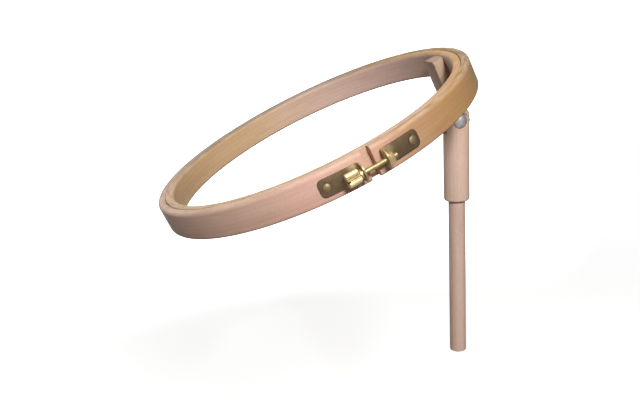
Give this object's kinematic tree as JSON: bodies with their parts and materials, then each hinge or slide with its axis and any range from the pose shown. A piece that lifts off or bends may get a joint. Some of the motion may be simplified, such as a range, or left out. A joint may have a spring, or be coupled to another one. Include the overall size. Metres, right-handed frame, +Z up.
{
  "type": "embroidery hoop",
  "caption": "Round wooden embroidery hoop with a split outer ring and brass thumb-screw clamp, on a tilting knuckle above a turned stem.",
  "frame": {"origin": "centre of the flat lower end of the stem", "axes": "+Z up along the stem, the hoop's centre towards -X, the head of the tilt bolt at -Y"},
  "size_m": [0.292, 0.3148, 0.2973],
  "materials": {
    "ring_wood": "sanded and waxed, low sheen",
    "stem_wood": "sanded and waxed, low sheen",
    "brass": "aged, polished on the edges",
    "steel": "zinc plated"
  },
  "bodies": {
    "stem": {"lower_dowel": "stem_wood", "barrel": "stem_wood", "pivot_bolt": "steel"},
    "tilt_washer": {"pivot_washer": "steel"},
    "tilt_nut": {"wing_nut": "steel"},
    "hoop": {"hoop_leg": "stem_wood", "inner_ring": "ring_wood", "leg_screw_upper": "steel", "leg_screw_lower": "steel"},
    "outer_hoop": {"outer_ring": "ring_wood", "bracket_left": "brass", "bracket_right": "brass", "rivet_left": "brass", "rivet_right": "brass"},
    "clamp_screw": {"tension_screw": "brass"},
    "clamp_nut": {"tension_nut": "brass"}
  },
  "joints": [
    {"name": "hoop_tilt", "type": "hinge", "parent": "stem", "child": "hoop", "pos_m": [0, 0, 0.2312], "axis": [0, 1, 0], "range_deg": [-65, 111]},
    {"name": "outer_ring_lift", "type": "slide", "parent": "hoop", "child": "outer_hoop", "axis": [-0.3907, 0, 0.9205], "range_m": [0, 0.04]},
    {"name": "tension_screw_turn", "type": "hinge", "parent": "outer_hoop", "child": "clamp_screw", "pos_m": [-0.13112, -0.1585, 0.23051], "axis": [-0.9199, -0.0349, -0.3905], "range_deg": [0, 1440]},
    {"name": "tension_nut_travel", "type": "slide", "parent": "outer_hoop", "child": "clamp_nut", "axis": [0.9199, 0.0349, 0.3905], "range_m": [0, 0.0028]},
    {"name": "wing_nut_travel", "type": "slide", "parent": "stem", "child": "tilt_washer", "axis": [0, 1, 0], "range_m": [0, 0.003]},
    {"name": "wing_nut_turn", "type": "hinge", "parent": "tilt_washer", "child": "tilt_nut", "pos_m": [0, 0, 0.2312], "axis": [0, 1, 0], "range_deg": [0, 1080]}
  ],
  "couplings": [
    {"joint": "tension_nut_travel", "follows": "tension_screw_turn", "m_per_rad": 0.0001114},
    {"joint": "wing_nut_travel", "follows": "wing_nut_turn", "m_per_rad": 0.00015915}
  ]
}
